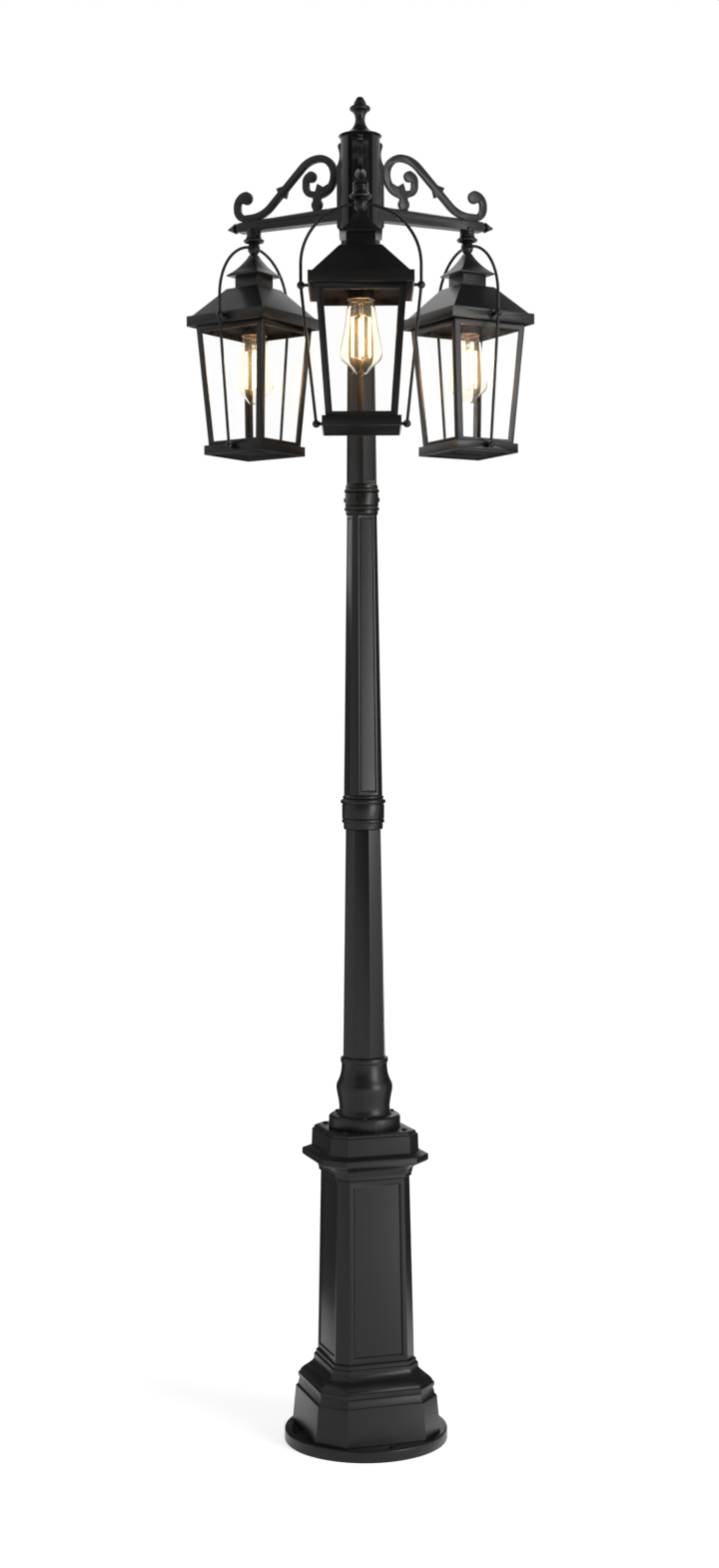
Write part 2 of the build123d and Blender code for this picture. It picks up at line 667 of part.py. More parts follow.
def arm_casting():
    rail_start = head_flat
    rail_end = hang_r + rail_overrun
    ends = []
    for distance, height in ((rail_start, rail_root_h), (rail_end, rail_tip_h)):
        section = Plane(origin=(0, -distance, arm_z), x_dir=(1, 0, 0), z_dir=(0, -1, 0))
        half = rail_w / 2
        top = height / 2
        corners = [(-half, -top), (half, -top), (half, top - rail_bevel_h), (half - rail_bevel_w, top),
                   (rail_bevel_w - half, top), (-half, top - rail_bevel_h)]
        ends.append(section * make_face(Polyline(*corners, close=True)))
    casting = loft(ends, ruled=True)
    groove_start = back_out_r + 4
    groove_end = hang_r - boss_d / 2 - 4
    groove = Box(2 * rail_groove_depth, groove_end - groove_start, rail_groove)
    for side in (-1, 1):
        casting -= Pos(side * rail_w / 2, -(groove_start + groove_end) / 2, arm_z + 1) * groove
    back = Polyline((head_flat, -back_below), (back_out_r - 3, -back_below), (back_out_r, -back_below + 4))
    back += Line((back_out_r, -back_below + 4), (back_out_r, back_above - 36))
    hollow = (back_out_r - 5.2, back_above - 22)
    back += ThreePointArc((back_out_r, back_above - 36), hollow, (back_out_r - 2.4, back_above - 7))
    back += Polyline((back_out_r - 2.4, back_above - 7), (back_out_r - 2.4, back_above - 3),
                     (back_out_r - 4.4, back_above), (head_flat, back_above), (head_flat, -back_below))
    casting += extrude(side_view * make_face(back), back_w / 2, both=True)
    casting += extrude(side_view * scroll(), scroll_t / 2, both=True)
    casting += Pos(0, -hang_r, arm_z) * post(boss_d / 2, -boss_drop, -rail_tip_h / 4)
    tip_x = rail_end + spear_l
    ring_r = spear_r * 0.9
    neck_r = spear_r * 0.55
    spear = Polyline((rail_end - 1, 0), (rail_end - 1, ring_r), (rail_end + 2, ring_r),
                     (rail_end + 3.5, neck_r), (rail_end + 6, neck_r), (rail_end + 8, spear_r))
    spear += Polyline((rail_end + 8, spear_r), (rail_end + 13, spear_r * 0.72), (tip_x - 2, spear_r * 0.16),
                      (tip_x, 0), (rail_end - 1, 0))
    casting += revolve(side_view * make_face(spear), Axis((0, 0, arm_z), (0, -1, 0)))
    casting -= Pos(0, -hang_r, arm_z) * post(stem_d / 2 + run_fit, -boss_drop, stem_rise + 0.5)
    casting -= Pos(0, 0, arm_z) * outward(arm_wire_d / 2, head_flat, hang_r)
    for z in arm_bolt_heights():
        casting -= Pos(0, 0, z) * outward(arm_bolt_d / 2, head_flat, head_flat + arm_bolt_grip)
    return casting


def hanger_bell():
    """Bell screwed under an arm's boss, which hides the stem's shoulder."""
    top = -boss_drop
    low = top - bell_h
    lip_z = low + 3.0
    neck_r = bell_neck_d / 2
    foot_r = bell_d / 2 - 1.2
    inner_r = foot_r - bell_lip
    outer = Polyline((0, top), (neck_r, top), (neck_r + 0.4, top - 2))
    outer += ThreePointArc((neck_r + 0.4, top - 2), (neck_r + 1.8, lip_z + 3.2), (bell_d / 2, lip_z))
    outer += Polyline((bell_d / 2, lip_z), (foot_r, low), (inner_r, low))
    outer += Polyline((inner_r, low), (hanger_collar_r + 1, top - bell_roof), (0, top - bell_roof), (0, top))
    bell = turned(outer) - post(stem_d / 2 + run_fit, top - bell_roof, top)
    return Pos(0, -hang_r, arm_z) * bell


def hanger_bells():
    return Compound([Rot(0, 0, turn) * hanger_bell() for turn in arm_angles.values()])


def bail_bar(radius):
    """Bent rod over the lantern, in the plane square to its arm, of a given rod radius."""
    centre_z = -bail_drop - bail_half
    ring = Pos(bail_half, 0, centre_z) * Circle(radius)
    hoop = revolve(ring, Axis((0, 0, centre_z), (0, -1, 0)), revolution_arc=180)
    for side in (-1, 1):
        knee = (side * bail_half, 0, eave_ball_z)
        foot = (side * tray_ball_half, 0, tray_ball_z)
        hoop += Pos(*knee) * post(radius, 0, centre_z - eave_ball_z)
        hoop += Pos(*knee) * Sphere(radius)
        lean = degrees(atan2(foot[0] - knee[0], foot[2] - knee[2]))
        length = hypot(foot[0] - knee[0], foot[2] - knee[2])
        hoop += Pos(*knee) * Rot(0, lean, 0) * post(radius, 0, length)
    return hoop


def hanger():
    """Turned stem with a ball, hollow for the wires, that carries the lantern."""
    shoulder = -boss_drop - bell_roof - hanger_gap
    ball_z = -bail_drop - 1.0
    stem_r = stem_d / 2
    tail_r = stem_r - 0.5
    tail = -(roof_top + sheet + roof_nut_h + 2)
    outline = Polyline((0, stem_rise), (stem_r, stem_rise), (stem_r, shoulder), (hanger_collar_r, shoulder))
    outline += Line((hanger_collar_r, shoulder), (hanger_collar_r, ball_z + 7))
    outline += Spline((hanger_collar_r, ball_z + 7), (hanger_ball_r, ball_z), (hanger_neck_r, -neck_drop))
    outline += Polyline((hanger_neck_r, -neck_drop), (tail_r, -neck_drop), (tail_r, tail), (0, tail),
                        (0, stem_rise))
    stem = turned(outline) - post(stem_wire_d / 2, tail, stem_rise)
    return stem - bail_bar(bail_d / 2 + rod_fit)


def square(half, z):
    return Pos(0, 0, z) * Rectangle(2 * half, 2 * half)


def block(half, z_low, z_high):
    """Square prism between two heights."""
    return Pos(0, 0, (z_low + z_high) / 2) * Box(2 * half, 2 * half, z_high - z_low)


def stem_hole(z_low, z_high):
    return post(stem_d / 2 - 0.5 + fit, z_low, z_high)


def chimney_cap():
    skirt_z = -neck_drop - 8.0
    low = -cap_bottom
    neck = loft([square(hanger_neck_r, -neck_drop), square(hanger_neck_r + 4.0, skirt_z)], ruled=True)
    steps = 5
    stations = []
    for i in range(steps + 1):
        share = i / steps
        half = along(hanger_neck_r + 4.0, chimney_cap_half, 0.7 * share + 0.3 * share ** 3)
        stations.append(square(half, along(skirt_z, low + chimney_cap_lip, share)))
    skirt = loft(stations, ruled=True)
    cap = neck + skirt + block(chimney_cap_half, low, low + chimney_cap_lip)
    return cap - stem_hole(low, -neck_drop)


def shank_holes(half, z):
    """Cutters for the ball connectors' shanks, through both side walls of a lantern."""
    hole = Rot(0, 90, 0) * Cylinder(bail_shank_d / 2 + fit, 6 * sheet)
    return [Pos(side * half, 0, z) * hole for side in (-1, 1)]


def roof():
    """Pressed roof with its chimney collar and its upright fascia, made of sheet."""
    top = -roof_top
    ledge = -ledge_drop
    eave = -ceiling_drop
    base_half = eave_half - roof_ledge
    shell = loft([square(roof_top_half, top), square(base_half, ledge)], ruled=True)
    shell += block(eave_half, eave, ledge)
    hollow_top = square(roof_top_half - sheet / 2, top - sheet)
    hollow_foot = square(base_half - sheet / 2, ledge - sheet)
    shell -= loft([hollow_top, hollow_foot], ruled=True)
    shell -= block(eave_half - sheet, eave, ledge - sheet)
    chimney = block(chimney_half, top, -cap_bottom) - block(chimney_half - sheet, top, -cap_bottom)
    shell += chimney
    shell -= stem_hole(top - sheet, top)
    return shell - shank_holes(eave_half, eave_ball_z)


def cage_half(z):
    """Half width of the tapered cage at a height."""
    return along(cage_top_half, cage_foot_half, (-ceiling_drop - z) / cage_h)


def side_panel(z_low, z_high, inner, outer, edge):
    """Flat tapered plate on the cage's back side, between two insets and clear of the corners."""
    sections = []
    for z in (z_low, z_high):
        half = cage_half(z)
        middle = half - (inner + outer) / 2
        sections.append(Pos(0, middle, z) * Rectangle(2 * (half - edge), inner - outer))
    return loft(sections, ruled=True)


def four_sides(shape):
    return [Rot(0, 0, 90 * i) * shape for i in range(4)]


def ceiling():
    """Flat lid of the lamp chamber, with the bent clips that hold the tops of the glass."""
    lid = block(eave_half - sheet - fit, -ceiling_drop, -ceiling_drop + sheet)
    lid -= post(holder_neck_d / 2 + fit, -ceiling_drop, -ceiling_drop + sheet)
    inset = cage_half(-ceiling_drop - clip_h) - sheet - glass_t - glass_gap - clip_t
    clip = Box(clip_w, clip_t, clip_h, align=(Align.CENTER, Align.MIN, Align.MAX))
    for side in (-1, 1):
        lid += four_sides(Pos(side * clip_spread * cage_foot_half, inset, -ceiling_drop) * clip)
    return lid


def cage():
    """Welded frame of four corner angles between a top band and a sill."""
    top = -ceiling_drop
    low = -tray_drop
    frame = loft([square(cage_half(low), low), square(cage_half(top), top)], ruled=True)
    frame -= loft([square(cage_half(low) - sheet, low), square(cage_half(top) - sheet, top)], ruled=True)
    window = side_panel(low + cage_sill_h, top - cage_band_h, 3 * sheet, -3 * sheet, cage_post_w)
    return frame - four_sides(window)


def glass_panels():
    low = -tray_drop
    top = -ceiling_drop - 1.0
    panel = side_panel(low, top, sheet + glass_t, sheet, sheet + glass_t + glass_gap)
    return Compound(four_sides(panel))


def tray():
    """Folded tray under the cage, open in the middle for the bulb, with a stop behind the glass."""
    top = -tray_drop
    low = -tray_bottom
    stop_half = cage_foot_half - sheet - glass_t - glass_gap
    opening = stop_half - sheet
    body = block(tray_half, low, top) - block(tray_half - sheet, low, top - sheet)
    body += block(stop_half, top - sheet, top + glass_stop_h)
    body -= block(opening, top - sheet, top + glass_stop_h)
    return body - shank_holes(tray_half, tray_ball_z)


def bottom_pan():
    """Pan that closes the tray from below, with two weep holes and slots past the shanks."""
    half = tray_half - sheet - fit
    low = -tray_bottom + pan_recess
    rim = -tray_drop - sheet
    pan = block(half, low, rim) - block(half - sheet, low + sheet, rim)
    for side in (-1, 1):
        pan -= Pos(0, side * weep_hole_r, 0) * post(weep_hole_d / 2, low, low + sheet)
    slot_h = rim - tray_ball_z
    pan -= Pos(0, 0, rim - slot_h / 2) * Box(2 * tray_half, bail_shank_d + 2 * fit, slot_h)
    return pan - shank_holes(tray_half, tray_ball_z)


def fixings():
    """Ball connectors of the bail rod, and the nut that holds the roof on its stem."""
    rod = bail_bar(bail_d / 2 + rod_fit)
    pieces = []
    at_eave = (bail_half, eave_ball_z, eave_half)
    at_tray = (tray_ball_half, tray_ball_z, tray_half)
    for half, z, wall_half in (at_eave, at_tray):
        shank_l = half - wall_half + 3 * sheet
        shank = Cylinder(bail_shank_d / 2, shank_l, align=(Align.CENTER, Align.CENTER, Align.MIN))
        ball = Pos(half, 0, z) * (Sphere(bail_ball_d / 2) + Rot(0, -90, 0) * shank)
        pieces += [Rot(0, 0, turn) * ball - rod for turn in (0, 180)]
    nut_top = -roof_top - sheet
    nut = Pos(0, 0, nut_top) * extrude(RegularPolygon(roof_nut_d / 2, 6), -roof_nut_h)
    pieces.append(nut - stem_hole(nut_top - roof_nut_h, nut_top))
    return Compound(pieces)


def bulb_cap_top():
    return bulb_neck_z + bulb_cap_l


def lamp_holder():
    """Socket cup under the ceiling and its body above, bored for the bulb's neck and screw cap."""
    mouth = -holder_mouth
    top = bulb_cap_top() + bulb_cap_fit + holder_roof
    holder = post(holder_cup_d / 2, mouth, -ceiling_drop) + post(holder_neck_d / 2, -ceiling_drop, top)
    holder -= post(holder_cup_d / 2 - holder_cup_wall, mouth, -ceiling_drop - holder_cup_roof)
    holder -= post(bulb_cap_d / 2 + bulb_cap_fit, mouth, top - holder_roof)
    return holder - post(stem_wire_d / 2, top - holder_roof, top)


def bulb_neck_r():
    return bulb_cap_d / 2 - 0.2


def bulb_outline(inset):
    """Half outline of a teardrop bulb, drawn in by an inset."""
    neck_r = bulb_neck_r() - inset
    wide = bulb_d / 2 - inset
    low = -bulb_glass_l + inset
    stations = [(0, 0), (0.107, 0.3), (0.38, 0.61), (0.64, 0.92), (0.725, 1.0), (0.8, 0.95)]
    points = [(along(neck_r, wide, swell), low * depth) for depth, swell in stations]
    points += [(wide * 0.79, low * 0.86), (wide * 0.42, low * 0.942), (0, low)]
    shape = Spline(*points, tangents=[(0.3, -1), (-1, 0)])
    return shape + Polyline((0, low), (0, 0), (neck_r, 0))


def bulb_glass():
    return turned(bulb_outline(0), bulb_neck_z) - turned(bulb_outline(bulb_wall), bulb_neck_z)


def bulb_cap():
    """Screw cap with rounded threads and a contact at its tip."""
    crest = bulb_cap_d / 2
    root = crest - 0.9
    threads = int((bulb_cap_l - 7.0) / bulb_cap_pitch)
    outline = Polyline((0, 0), (bulb_neck_r(), 0), (bulb_neck_r(), 2.4), (root, 3.0))
    for i in range(threads):
        z = 3.0 + bulb_cap_pitch * i
        outline += bead(root, z, z + bulb_cap_pitch, crest - root)
    top = 3.0 + bulb_cap_pitch * threads
    contact_r = bulb_cap_d * 0.18
    contact_z = bulb_cap_l - 1.6
    outline += Polyline((root, top), (bulb_cap_d * 0.3, contact_z), (contact_r, contact_z),
                        (contact_r, bulb_cap_l), (0, bulb_cap_l), (0, 0))
    cap = turned(outline) - post(root - bulb_cap_wall, 0, top)
    return Pos(0, 0, bulb_neck_z) * cap


def filament():
    """Glass stem sealed into the neck, with the filament sticks hung between two spiders."""
    spider_z = -filament_stem_l
    low = spider_z - filament_l
    mount = post(filament_stem_d / 2, spider_z, 0)
    for z in (spider_z, low):
        mount += post(filament_ring_r + filament_d / 2 + filament_spider_rim, z, z + filament_spider_h)
    mount += post(bulb_neck_r() - bulb_wall - fit, -filament_seal_h, 0)
    mount += around(post(filament_d / 2, low, spider_z), filament_count, filament_ring_r, filament_turn)
    return Pos(0, 0, bulb_neck_z) * mount


def lantern_nodes():
    """Pieces of one lantern about its own hang axis, with the arm's axis at zero height."""
    return {"hanger": hanger(), "chimney_cap": chimney_cap(), "roof": roof(), "ceiling": ceiling(),
            "cage": cage(), "tray": tray(), "bottom_pan": bottom_pan(), "glass_panels": glass_panels(),
            "bail_rod": bail_bar(bail_d / 2), "fixings": fixings(), "lamp_holder": lamp_holder(),
            "bulb_glass": bulb_glass(), "bulb_cap": bulb_cap(), "filament": filament()}


def post_nodes():
    """Pieces of the post and its head, with one casting for each arm."""
    pieces = {"base_plate": base_plate(), "pedestal_foot": pedestal_foot(),
              "pedestal_shaft": pedestal_shaft(), "pedestal_cornice": pedestal_cornice(),
              "post_screws": post_screws(), "pole_flange": pole_flange(), "lower_pole": lower_pole(),
              "lower_collar": lower_collar(), "middle_pole": middle_pole(), "upper_collar": upper_collar(),
              "upper_pole": upper_pole(), "head_column": head_column(), "head_cap": head_cap(),
              "top_finial": top_finial(), "hanger_bells": hanger_bells()}
    casting = arm_casting()
    for side, turn in arm_angles.items():
        pieces["arm_" + side] = Rot(0, 0, turn) * casting
    return pieces


def all_nodes():
    nodes = post_nodes()
    lantern = lantern_nodes()
    for side, turn in arm_angles.items():
        seat = Rot(0, 0, turn) * Pos(0, -hang_r, arm_z) * Rot(0, 0, lantern_turn[side])
        for name, shape in lantern.items():
            nodes[side + "_" + name] = seat * shape
    return nodes


os.makedirs("parts", exist_ok=True)
for node, shape in all_nodes().items():
    export_step(shape, "parts/" + node + ".step")
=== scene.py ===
"""Outdoor post light: a stepped cast pedestal, a sectional pole and three hanging lanterns.

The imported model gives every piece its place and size. Castings and sheet pieces get eased edges and a
powder-coated finish here. Screws and glowing sticks are made anew, and the bulbs' glass stems and wires
and the brass lips of the lamp holders are added.
"""

import json
import math

import bmesh
import bpy
from mathutils import Matrix, Vector


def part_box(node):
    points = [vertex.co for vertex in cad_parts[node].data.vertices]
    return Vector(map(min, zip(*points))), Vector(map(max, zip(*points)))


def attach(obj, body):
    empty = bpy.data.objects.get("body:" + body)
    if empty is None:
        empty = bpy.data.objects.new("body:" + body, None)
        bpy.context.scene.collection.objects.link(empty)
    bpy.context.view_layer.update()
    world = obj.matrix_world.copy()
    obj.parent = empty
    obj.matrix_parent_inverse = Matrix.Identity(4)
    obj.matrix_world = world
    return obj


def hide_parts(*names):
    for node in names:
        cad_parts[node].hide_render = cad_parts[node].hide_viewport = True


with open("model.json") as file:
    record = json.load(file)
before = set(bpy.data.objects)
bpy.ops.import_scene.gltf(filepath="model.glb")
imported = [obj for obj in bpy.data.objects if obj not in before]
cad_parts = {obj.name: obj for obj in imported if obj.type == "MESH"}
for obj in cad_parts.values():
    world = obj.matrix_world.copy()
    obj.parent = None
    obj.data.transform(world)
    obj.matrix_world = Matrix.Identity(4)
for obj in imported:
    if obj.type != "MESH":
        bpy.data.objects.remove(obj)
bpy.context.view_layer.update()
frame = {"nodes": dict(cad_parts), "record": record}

# Studio
# A white paper sweep that fades into a white room, with a tall softbox to the right and a dim panel high
# up behind. Grey flags darken what the coat mirrors from both sides, the front and above.


def linear(code):
    """Linear colour with full alpha from an sRGB hex code."""
    channels = [int(code[i:i + 2], 16) / 255 for i in (1, 3, 5)]
    return [c / 12.92 if c <= 0.04045 else ((c + 0.055) / 1.055) ** 2.4 for c in channels] + [1.0]


def add(tree, kind, inputs=None, **settings):
    """Adds a node, sets its properties, and links or sets its inputs; a list goes into one joining input."""
    node = tree.nodes.new(kind)
    for key, value in settings.items():
        setattr(node, key, value)
    for key, value in (inputs or {}).items():
        links = value if isinstance(value, list) else [value]
        if isinstance(links[0], bpy.types.NodeSocket):
            for link in links:
                tree.links.new(link, node.inputs[key])
        else:
            node.inputs[key].default_value = value
    return node


def seen_directly(tree):
    """Socket that is one for camera, glossy and transmission rays."""
    path = add(tree, "ShaderNodeLightPath")
    mirrored = add(tree, "ShaderNodeMath",
                   {0: path.outputs["Is Camera Ray"], 1: path.outputs["Is Glossy Ray"]}, operation="MAXIMUM")
    either = add(tree, "ShaderNodeMath", {0: mirrored.outputs[0], 1: path.outputs["Is Transmission Ray"]},
                 operation="MAXIMUM")
    return either.outputs[0]


scene = bpy.context.scene
scene.view_settings.view_transform = "Standard"
room = bpy.data.worlds.new("white_room")
room.use_nodes = True
room_tree = room.node_tree
room_tree.nodes.clear()
fill_level = 0.3
white_wall = add(room_tree, "ShaderNodeBackground", {"Color": linear("#ffffff"), "Strength": 1.0})
soft_fill = add(room_tree, "ShaderNodeBackground", {"Color": linear("#ffffff"), "Strength": fill_level})
room_mix = add(room_tree, "ShaderNodeMixShader",
               {0: seen_directly(room_tree), 1: soft_fill.outputs[0], 2: white_wall.outputs[0]})
add(room_tree, "ShaderNodeOutputWorld", {"Surface": room_mix.outputs[0]})
scene.world = room

sweep_half = 30.0
floor_mesh = bpy.data.meshes.new("floor")
floor_mesh.from_pydata([(-sweep_half, -sweep_half, 0), (sweep_half, -sweep_half, 0),
                        (sweep_half, sweep_half, 0), (-sweep_half, sweep_half, 0)], [], [(0, 1, 2, 3)])
floor = bpy.data.objects.new("floor", floor_mesh)
scene.collection.objects.link(floor)
paper = bpy.data.materials.new("white_paper_sweep")
paper.use_nodes = True
paper_tree = paper.node_tree
paper_tree.nodes.clear()
near_reach = 0.4
near_lift = 0.7
far_reach = 2.0
far_lift = 0.85
paper_place = add(paper_tree, "ShaderNodeTexCoord").outputs["Object"]
from_post = add(paper_tree, "ShaderNodeVectorMath", {0: paper_place}, operation="LENGTH").outputs["Value"]
paper_lift = add(paper_tree, "ShaderNodeMapRange",
                 {"Value": from_post, "From Min": near_reach, "From Max": far_reach,
                  "To Min": near_lift, "To Max": far_lift}).outputs[0]
lift = add(paper_tree, "ShaderNodeMath", {0: seen_directly(paper_tree), 1: paper_lift}, operation="MULTIPLY")
paper_glow = add(paper_tree, "ShaderNodeEmission", {"Color": linear("#ffffff"), "Strength": lift.outputs[0]})
paper_matt = add(paper_tree, "ShaderNodeBsdfDiffuse", {"Color": linear("#ededed")})
paper_sum = add(paper_tree, "ShaderNodeAddShader", {0: paper_matt.outputs[0], 1: paper_glow.outputs[0]})
add(paper_tree, "ShaderNodeOutputMaterial", {"Surface": paper_sum.outputs[0]})
floor_mesh.materials.append(paper)


def softbox(name, place, target, width, height, radiance):
    """Area lamp of a given radiance that faces a point."""
    lamp = bpy.data.lights.new(name, "AREA")
    lamp.shape = "RECTANGLE"
    lamp.size = width
    lamp.size_y = height
    lamp.energy = radiance * math.pi * width * height
    lamp_object = bpy.data.objects.new(name, lamp)
    lamp_object.location = place
    lamp_object.rotation_euler = (Vector(target) - Vector(place)).to_track_quat("-Z", "Y").to_euler()
    lamp_object.visible_camera = False
    scene.collection.objects.link(lamp_object)


softbox("right_softbox", place=(2.68, -2.09, 1.45), target=(0, 0, 0.9), width=1.6, height=2.6, radiance=7.4)
softbox("rear_panel", place=(0.2, 2.0, 3.4), target=(0, 0, 1.2), width=2.2, height=1.0, radiance=0.6)

grey_felt = bpy.data.materials.new("grey_felt")
grey_felt.use_nodes = True
felt_shader = grey_felt.node_tree.nodes["Principled BSDF"]
felt_shader.inputs["Base Color"].default_value = linear("#5c5c5c")
felt_shader.inputs["Roughness"].default_value = 1.0


def flag(name, place, target, width, height):
    """Grey card facing a point, which only shows as a soft dark reflection in the coat."""
    facing = (Vector(target) - Vector(place)).to_track_quat("-Z", "Y")
    corners = [(x * width / 2, y * height / 2) for x, y in ((-1, -1), (1, -1), (1, 1), (-1, 1))]
    mesh = bpy.data.meshes.new(name)
    mesh.from_pydata([Vector(place) + facing @ Vector((x, y, 0)) for x, y in corners], [], [(0, 1, 2, 3)])
    mesh.materials.append(grey_felt)
    card = bpy.data.objects.new(name, mesh)
    scene.collection.objects.link(card)
    for rays in ("camera", "transmission", "diffuse", "shadow"):
        setattr(card, "visible_" + rays, False)


flag("left_flag", place=(-0.44, 0.61, 0.7), target=(0, 0, 0.7), width=0.9, height=1.4)
flag("right_flag", place=(0.62, 0.45, 0.9), target=(0, 0, 0.9), width=0.9, height=1.8)
flag("front_flag", place=(0, -4.6, 3.6), target=(0, 0, 3.6), width=9.0, height=5.0)
# The top flag lies a hair off level, because a card that faces straight down has no up side.
flag("top_flag", place=(0, 1.1, 4.8), target=(0, 1.101, 0), width=4.4, height=4.4)

# The camera stands level and well back; its shift puts the horizon where the photograph has it.
photo_width = 720
photo_height = 1570
focal_px = 2188.0
horizon_row = 725.0
axis_column = 363.3
camera_distance = 3.5
camera_height = 1.1404
camera_roll = math.radians(0.26)
camera_data = bpy.data.cameras.new("photo_camera")
camera_data.sensor_fit = "VERTICAL"
camera_data.sensor_height = 36.0
camera_data.lens = focal_px / photo_height * camera_data.sensor_height
camera_data.shift_y = (horizon_row - photo_height / 2) / photo_height
camera = bpy.data.objects.new("photo_camera", camera_data)
camera_x = (photo_width / 2 - axis_column) / focal_px * camera_distance
camera.matrix_world = (Matrix.Translation((camera_x, -camera_distance, camera_height))
                       @ Matrix.Rotation(math.radians(90), 4, "X") @ Matrix.Rotation(-camera_roll, 4, "Z"))
scene.collection.objects.link(camera)
scene.camera = camera

# Base plate
# A round cast aluminium flange that stands on the ground and takes the anchor bolts. Its rim is
# turned, and it is powder coated satin black like the rest of the post.


def powder_coat(name, tone, worn_tone, grain_mm, grain_depth_mm, roughness, sheen_level=0.27):
    """Baked satin black powder: even and dark, with a fine orange-peel grain that breaks up its soft sheen.

    The real grain is under a millimetre; it is drawn coarser, as small as still shows.
    """
    finish = bpy.data.materials.new(name)
    finish.use_nodes = True
    tree = finish.node_tree
    shader = tree.nodes["Principled BSDF"]
    place = add(tree, "ShaderNodeTexCoord").outputs["Object"]
    grain = add(tree, "ShaderNodeTexNoise", {"Vector": place, "Scale": 1000 / grain_mm, "Detail": 2.0})
    cloud_mm = 90.0
    cloud_low = 0.3
    cloud_high = 0.7
    gloss_swing = 0.03
    peel_strength = 0.7
    cloud = add(tree, "ShaderNodeTexNoise", {"Vector": place, "Scale": 1000 / cloud_mm, "Detail": 3.0})
    colour = add(tree, "ShaderNodeMixRGB", {0: cloud.outputs["Fac"], 1: linear(tone), 2: linear(worn_tone)})
    gloss = add(tree, "ShaderNodeMapRange",
                {"Value": cloud.outputs["Fac"], "From Min": cloud_low, "From Max": cloud_high,
                 "To Min": roughness - gloss_swing, "To Max": roughness + gloss_swing})
    peel = add(tree, "ShaderNodeBump", {"Height": grain.outputs["Fac"], "Strength": peel_strength,
                                        "Distance": grain_depth_mm / 1000})
    tree.links.new(colour.outputs[0], shader.inputs["Base Color"])
    tree.links.new(gloss.outputs[0], shader.inputs["Roughness"])
    tree.links.new(peel.outputs[0], shader.inputs["Normal"])
    shader.inputs["IOR"].default_value = 1.5
    shader.inputs["Specular IOR Level"].default_value = sheen_level
    return finish


def finished_mesh(holder):
    """Plain mesh of an object with its modifiers applied and removed."""
    graph = bpy.context.evaluated_depsgraph_get()
    mesh = bpy.data.meshes.new_from_object(holder.evaluated_get(graph), preserve_all_data_layers=True,
                                           depsgraph=graph)
    holder.modifiers.clear()
    holder.data = mesh
    return mesh


bodies = frame["record"]["behaviour"]["bodies"]
body_of_node = {node: body for body, nodes in bodies.items() for node in nodes}


def stands_for(piece, node):
    """Lets a finished piece move with a node's body and take its place and its finish."""
    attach(piece, body_of_node[node])
    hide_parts(node)


def eased(node, finish, radius_mm, sharp_deg=28.0, groove_mm=0.0):
    """Copy of a piece with its sharp edges rounded over, which stands for the plain one.

    A groove width leaves a groove of that width along the rims of sunk panels and raises their fields again.
    """
    shape = bmesh.new()
    shape.from_mesh(frame["nodes"][node].data)
    weld_m = 2e-6
    bmesh.ops.remove_doubles(shape, verts=shape.verts, dist=weld_m)
    same_plane = math.radians(0.25)
    bmesh.ops.dissolve_limit(shape, angle_limit=same_plane, verts=shape.verts, edges=shape.edges)
    if groove_mm:
        groove_m = groove_mm / 1000
        fields = [face for face in shape.faces if not any(edge.is_convex for edge in face.edges)]
        bmesh.ops.inset_individual(shape, faces=fields, thickness=groove_m, depth=groove_m / 2)
    mesh = bpy.data.meshes.new(node + "_coated")
    shape.to_mesh(mesh)
    shape.free()
    piece = bpy.data.objects.new(node + "_coated", mesh)
    scene.collection.objects.link(piece)
    mesh.polygons.foreach_set("use_smooth", [True] * len(mesh.polygons))
    mesh.materials.append(finish)
    edge = piece.modifiers.new("eased_edges", "BEVEL")
    edge.width = radius_mm / 1000
    edge.segments = 2
    edge.limit_method = "ANGLE"
    edge.angle_limit = math.radians(sharp_deg)
    edge.harden_normals = True
    finished_mesh(piece)
    stands_for(piece, node)
    return piece


post_coat = powder_coat("satin_black_powder_coat", tone="#141414", worn_tone="#1a1a19", grain_mm=2.6,
                        grain_depth_mm=0.025, roughness=0.34)
eased("base_plate", post_coat, 0.8)

# Pedestal
# Three hollow aluminium castings stacked on the base plate: a moulded foot, a tapered shaft with
# sunk panels, and a cornice with a neck. Their edges are rounded by the casting and the coat.
for node in ("pedestal_foot", "pedestal_cornice"):
    eased(node, post_coat, 1.0)
eased("pedestal_shaft", post_coat, 0.8, groove_mm=2.6)

# Pole
# A turned baluster on a round flange, then three tapered sections joined by turned collars. The
# sections are cast hollow, and their tenons sit inside the collars.
for node, radius_mm in (("pole_flange", 0.6), ("lower_pole", 1.0), ("lower_collar", 0.4),
                        ("upper_collar", 0.4)):
    eased(node, post_coat, radius_mm)
for node in ("middle_pole", "upper_pole"):
    eased(node, post_coat, 0.5, groove_mm=2.0)

# Head
# A round column with three flats for the arms, closed by a thin cap and a turned finial that is
# screwed through it.
for node, radius_mm in (("head_column", 0.7), ("head_cap", 0.4), ("top_finial", 0.3)):
    eased(node, post_coat, radius_mm)

# Arms
# One sand casting each: a tapered rail with a groove along both sides, a flat scroll above it, and
# a back plate bolted to the column. A turned bell is screwed under each arm's boss.
for node, radius_mm in (("arm_front", 0.9), ("arm_left", 0.9), ("arm_right", 0.9), ("hanger_bells", 0.4)):
    eased(node, post_coat, radius_mm)

# Screws of the post
# Blackened steel: button heads on the pedestal and the flange, socket set screws in the upper
# collar and the head, and the bolts that hold the arms from inside the column.
# Blackened steel is as dark as the coat, with a finer grain and a little more shine.
screw_steel = powder_coat("blackened_steel", tone="#141414", worn_tone="#1c1c1b", grain_mm=1.0,
                          grain_depth_mm=0.02, roughness=0.32)


